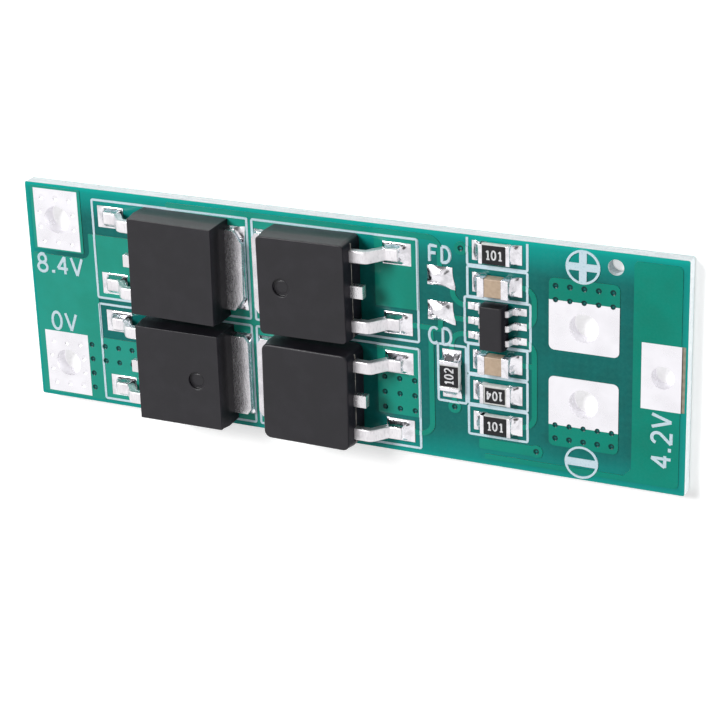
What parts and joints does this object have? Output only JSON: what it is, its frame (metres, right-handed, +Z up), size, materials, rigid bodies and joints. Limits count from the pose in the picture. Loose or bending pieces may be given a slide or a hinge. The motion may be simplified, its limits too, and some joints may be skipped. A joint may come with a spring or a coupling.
{
  "type": "battery management board",
  "caption": "Narrow green circuit board that guards a two-cell lithium pack, with flat power transistors, chip parts and drilled wire lands.",
  "frame": {"origin": "centre of the board's outline, on the plane that its underside rests on", "axes": "+X along the board from the charge lands to the balance land, +Y across it to the edge with the tooling hole, +Z up, away from the underside, on the side of the parts"},
  "size_m": [0.045, 0.015, 0.0033],
  "materials": {
    "laminate": "woven glass-epoxy laminate, milled edge",
    "copper": "thin copper foil under the mask",
    "solder_mask": "green glossy film, lighter over copper",
    "white_ink": "screen-printed white ink",
    "tinned_land": "bright hot-levelled tin",
    "solder": "smooth solder, slightly uneven",
    "moulding": "black moulding compound, finely matt",
    "via_lining": "plated hole wall under green film",
    "tinned_metal": "tin-plated tab, brushed grey",
    "tinned_lead": "tin-plated lead, satin",
    "black_coating": "black glazed coating",
    "end_cap_metal": "tinned end metal",
    "white_ceramic": "white alumina",
    "tan_ceramic": "tan glossy ceramic"
  },
  "bodies": {
    "root": {"charge_positive_terminal": "tinned_land", "charge_negative_terminal": "tinned_land", "battery_positive_terminal": "tinned_land", "battery_negative_terminal": "tinned_land", "balance_terminal": "tinned_land", "glass_epoxy_core": "laminate", "front_copper": "copper", "front_solder_mask": "solder_mask", "underside_copper": "copper", "underside_solder_mask": "solder_mask", "printed_outlines": "white_ink", "via_barrels": "via_lining", "transistor_1_body": "moulding", "transistor_1_drain_tab": "tinned_metal", "transistor_1_gate_lead": "tinned_lead", "transistor_1_source_lead": "tinned_lead", "transistor_1_solder": "solder", "transistor_2_body": "moulding", "transistor_2_drain_tab": "tinned_metal", "transistor_2_gate_lead": "tinned_lead", "transistor_2_source_lead": "tinned_lead", "transistor_2_solder": "solder", "transistor_3_body": "moulding", "transistor_3_drain_tab": "tinned_metal", "transistor_3_gate_lead": "tinned_lead", "transistor_3_source_lead": "tinned_lead", "transistor_3_solder": "solder", "transistor_4_body": "moulding", "transistor_4_drain_tab": "tinned_metal", "transistor_4_gate_lead": "tinned_lead", "transistor_4_source_lead": "tinned_lead", "transistor_4_solder": "solder", "resistor_1_ceramic": "white_ceramic", "resistor_1_end_caps": "end_cap_metal", "resistor_1_coating": "black_coating", "resistor_1_solder": "solder", "resistor_2_ceramic": "white_ceramic", "resistor_2_end_caps": "end_cap_metal", "resistor_2_coating": "black_coating", "resistor_2_solder": "solder", "resistor_3_ceramic": "white_ceramic", "resistor_3_end_caps": "end_cap_metal", "resistor_3_coating": "black_coating", "resistor_3_solder": "solder", "resistor_4_ceramic": "white_ceramic", "resistor_4_end_caps": "end_cap_metal", "resistor_4_coating": "black_coating", "resistor_4_solder": "solder", "capacitor_1_ceramic": "tan_ceramic", "capacitor_1_end_caps": "end_cap_metal", "capacitor_1_solder": "solder", "capacitor_2_ceramic": "tan_ceramic", "capacitor_2_end_caps": "end_cap_metal", "capacitor_2_solder": "solder", "protection_chip_body": "moulding", "protection_chip_leads": "tinned_lead", "protection_chip_solder": "solder", "discharge_test_pad": "solder", "charge_test_pad": "solder"}
  },
  "joints": []
}
